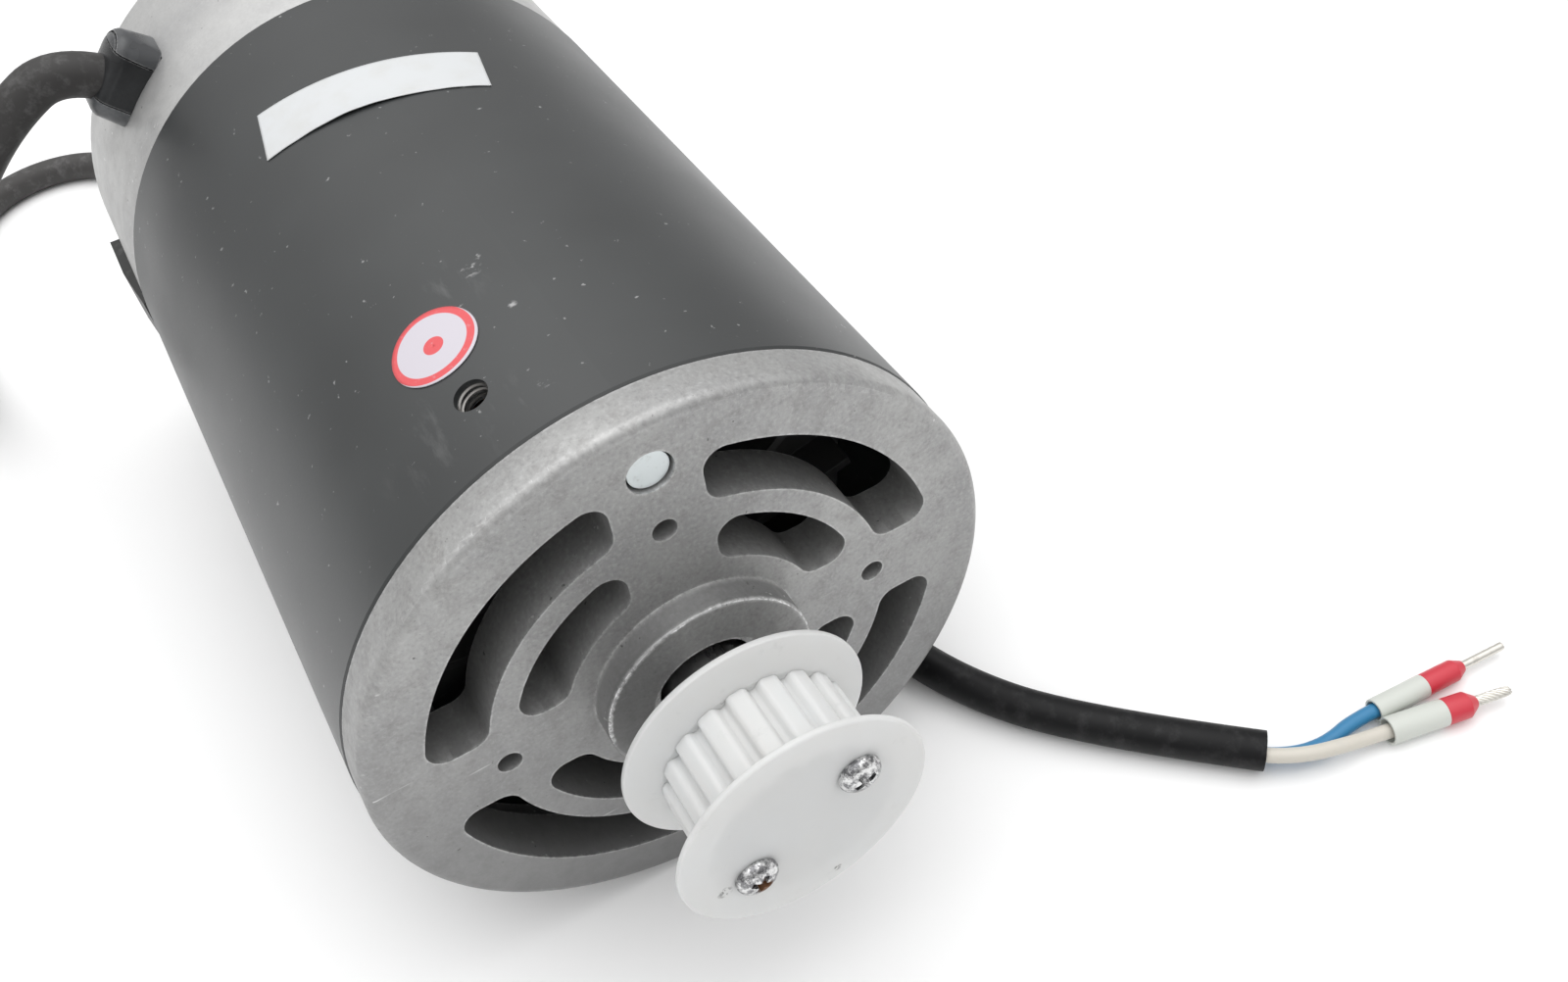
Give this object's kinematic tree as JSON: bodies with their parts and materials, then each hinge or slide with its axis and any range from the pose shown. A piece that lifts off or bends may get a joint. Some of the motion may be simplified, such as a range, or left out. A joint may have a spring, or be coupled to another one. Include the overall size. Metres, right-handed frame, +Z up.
{
  "type": "electric motor",
  "caption": "Brushed DC motor: black round casing, vented cast front plate, flanged toothed belt pulley on the shaft, free cable with two ferruled wires.",
  "frame": {"origin": "centre of the flat front face of the front end bell, on the shaft axis", "axes": "+X along the shaft out of the front face, +Z up with one spoke of the front plate, motor lying on its casing"},
  "size_m": [0.3353, 0.232, 0.1001],
  "materials": {
    "casing_paint": "satin",
    "cast_aluminium": "matte",
    "ferrite": "matte",
    "zinc_steel": "satin",
    "bearing_steel": "polished",
    "seal_rubber": "matte",
    "black_moulding": "matte",
    "brass": "satin",
    "carbon": "matte",
    "spring_steel": "satin",
    "shaft_steel": "satin",
    "lamination_steel": "matte",
    "insulation": "matte",
    "copper": "satin",
    "pulley_white": "satin",
    "cable_black": "matte",
    "wire_blue": "satin",
    "wire_white": "satin",
    "band_red": "satin",
    "tinned_copper": "satin",
    "lead_red": "satin",
    "label_white": "satin"
  },
  "bodies": {
    "stator": {"bearing_preload_ring": "bearing_steel", "blue_ferrule_band": "band_red", "blue_ferrule_collar": "wire_white", "blue_ferrule_pin": "tinned_copper", "blue_wire": "wire_blue", "brush_cap_left": "black_moulding", "brush_cap_right": "black_moulding", "brush_guide_left": "brass", "brush_guide_right": "brass", "brush_holder_left": "black_moulding", "brush_holder_right": "black_moulding", "brush_leads": "lead_red", "brush_spring_left": "spring_steel", "brush_spring_right": "spring_steel", "cable_sleeve": "cable_black", "front_bearing_outer": "bearing_steel", "front_bearing_shields": "bearing_steel", "front_end_bell": "cast_aluminium", "left_magnet": "ferrite", "motor_casing": "casing_paint", "rating_label": "label_white", "rear_bearing_outer": "bearing_steel", "rear_bearing_shields": "bearing_steel", "rear_end_bell": "cast_aluminium", "right_magnet": "ferrite", "round_sticker": "label_white", "seal_circlip": "bearing_steel", "shaft_seal": "seal_rubber", "strain_relief_body": "black_moulding", "strain_relief_wedge": "black_moulding", "supply_cable": "cable_black", "tie_bolt_washers": "zinc_steel", "tie_bolts": "zinc_steel", "white_ferrule_band": "band_red", "white_ferrule_collar": "wire_white", "white_ferrule_pin": "tinned_copper", "white_wire": "wire_white"},
    "rotor": {"motor_shaft": "shaft_steel", "rotor_core": "lamination_steel", "core_insulators": "insulation", "rotor_windings": "copper", "slot_wedges": "insulation", "commutator_hub": "insulation", "commutator_bars": "copper", "cooling_fan": "black_moulding", "front_bearing_inner": "bearing_steel", "rear_bearing_inner": "bearing_steel", "spacer_sleeve": "shaft_steel", "pulley_hub": "pulley_white", "pulley_flange": "pulley_white", "pulley_screws": "zinc_steel"},
    "front_ball_set": {"front_bearing_balls": "bearing_steel", "front_bearing_cage": "bearing_steel"},
    "rear_ball_set": {"rear_bearing_balls": "bearing_steel", "rear_bearing_cage": "bearing_steel"},
    "left_brush": {"carbon_brush_left": "carbon"},
    "right_brush": {"carbon_brush_right": "carbon"}
  },
  "joints": [
    {"name": "rotor_spin", "type": "hinge", "parent": "stator", "child": "rotor", "pos_m": [0, 0, 0], "axis": [1, 0, 0], "continuous": true},
    {"name": "front_cage_spin", "type": "hinge", "parent": "stator", "child": "front_ball_set", "pos_m": [-0.0075, 0, 0], "axis": [1, 0, 0], "continuous": true},
    {"name": "rear_cage_spin", "type": "hinge", "parent": "stator", "child": "rear_ball_set", "pos_m": [-0.162, 0, 0], "axis": [1, 0, 0], "continuous": true},
    {"name": "left_brush_lift", "type": "slide", "parent": "stator", "child": "left_brush", "axis": [0, -1, 0], "range_m": [0, 0.006], "stiffness_N_per_m": 80, "springref_m": -0.004, "deforming": ["brush_spring_left"]},
    {"name": "right_brush_lift", "type": "slide", "parent": "stator", "child": "right_brush", "axis": [0, 1, 0], "range_m": [0, 0.006], "stiffness_N_per_m": 80, "springref_m": -0.004, "deforming": ["brush_spring_right"]}
  ],
  "couplings": [
    {"joint": "front_cage_spin", "follows": "rotor_spin", "ratio": 0.381},
    {"joint": "rear_cage_spin", "follows": "rotor_spin", "ratio": 0.368}
  ]
}
